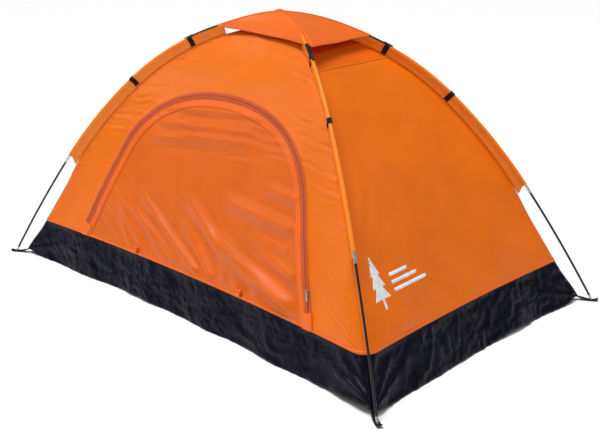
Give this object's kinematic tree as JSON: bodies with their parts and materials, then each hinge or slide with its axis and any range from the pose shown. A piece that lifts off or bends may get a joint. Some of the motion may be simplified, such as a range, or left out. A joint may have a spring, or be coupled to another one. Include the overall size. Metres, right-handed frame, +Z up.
{
  "type": "dome tent",
  "caption": "Small dome tent on crossed flexible poles: sleeved fabric body, arched zip door that folds down, lift-off roof cap and dark floor tub.",
  "frame": {"origin": "on the ground at the middle of the floor", "axes": "+Z up, X along the long side, the door faces -Y"},
  "size_m": [2.0922, 1.3138, 1.059],
  "materials": {
    "pole_fibreglass": "satin black resin over glass fibre",
    "ferrule_metal": "plain drawn",
    "tip_metal": "zinc plated",
    "elastic_cord": "braided",
    "sleeve_fabric": "thin coated polyester",
    "strap_webbing": "ribbed webbing",
    "wall_fabric": "thin coated polyester with a soft sheen",
    "roof_fabric": "thin coated polyester with a soft sheen",
    "vent_mesh": "fine net",
    "floor_fabric": "crinkled laminated sheet",
    "eyelet_metal": "plated",
    "door_fabric": "thin coated polyester with a soft sheen",
    "hem_fabric": "folded and stitched",
    "zip_tape": "coil zip",
    "patch_fabric": "doubled and stitched",
    "zip_metal": "cast",
    "black_plastic": "moulded",
    "cap_fabric": "coated polyester",
    "print_ink": "flat white ink"
  },
  "bodies": {
    "root": {"pole_a_section_1": "pole_fibreglass", "pole_a_section_2": "pole_fibreglass", "pole_a_section_3": "pole_fibreglass", "pole_a_section_4": "pole_fibreglass", "pole_a_section_5": "pole_fibreglass", "pole_a_section_6": "pole_fibreglass", "pole_a_section_7": "pole_fibreglass", "pole_b_section_1": "pole_fibreglass", "pole_b_section_2": "pole_fibreglass", "pole_b_section_3": "pole_fibreglass", "pole_b_section_4": "pole_fibreglass", "pole_b_section_5": "pole_fibreglass", "pole_b_section_6": "pole_fibreglass", "pole_b_section_7": "pole_fibreglass", "pole_a_ferrules": "ferrule_metal", "pole_b_ferrules": "ferrule_metal", "pole_a_end_tips": "tip_metal", "pole_b_end_tips": "tip_metal", "pole_a_shock_cord": "elastic_cord", "pole_b_shock_cord": "elastic_cord", "sleeve_front_left": "sleeve_fabric", "sleeve_front_right": "sleeve_fabric", "sleeve_rear_left": "sleeve_fabric", "sleeve_rear_right": "sleeve_fabric", "upper_sleeve_straps": "strap_webbing", "lower_sleeve_straps": "strap_webbing", "corner_webbing": "strap_webbing", "front_wall": "wall_fabric", "rear_wall": "wall_fabric", "left_wall": "wall_fabric", "right_wall": "wall_fabric", "left_roof_panel": "roof_fabric", "right_roof_panel": "roof_fabric", "roof_vent_mesh": "vent_mesh", "groundsheet": "floor_fabric", "front_floor_band": "floor_fabric", "rear_floor_band": "floor_fabric", "left_floor_band": "floor_fabric", "right_floor_band": "floor_fabric", "corner_eyelets": "eyelet_metal", "wall_zip_tape": "zip_tape", "zip_end_patches": "patch_fabric", "door_tie_loops": "patch_fabric", "door_toggles": "black_plastic", "wall_print": "print_ink"},
    "door": {"door_flap": "door_fabric", "door_hem": "hem_fabric", "door_zip_tape": "zip_tape"},
    "zip_slider_body": {"zip_slider": "zip_metal"},
    "zip_pull_body": {"zip_pull": "zip_metal"},
    "cap": {"roof_cap": "cap_fabric", "cap_straps": "strap_webbing", "cap_hooks": "black_plastic"}
  },
  "joints": [
    {"name": "door_fold", "type": "hinge", "parent": "root", "child": "door", "pos_m": [0, -0.5125, 0.249], "axis": [1, 0, 0], "range_deg": [0, 130]},
    {"name": "zip_run", "type": "slide", "parent": "root", "child": "zip_slider_body", "axis": [-0.3544, 0.2992, 0.8859], "range_m": [0, 0.2]},
    {"name": "zip_pull_flip", "type": "hinge", "parent": "zip_slider_body", "child": "zip_pull_body", "pos_m": [0.59844, -0.51292, 0.2719], "axis": [0.9285, 0, 0.3714], "range_deg": [-150, 0]},
    {"name": "cap_lift", "type": "slide", "parent": "root", "child": "cap", "axis": [0, 0, 1], "range_m": [0, 0.12]}
  ]
}
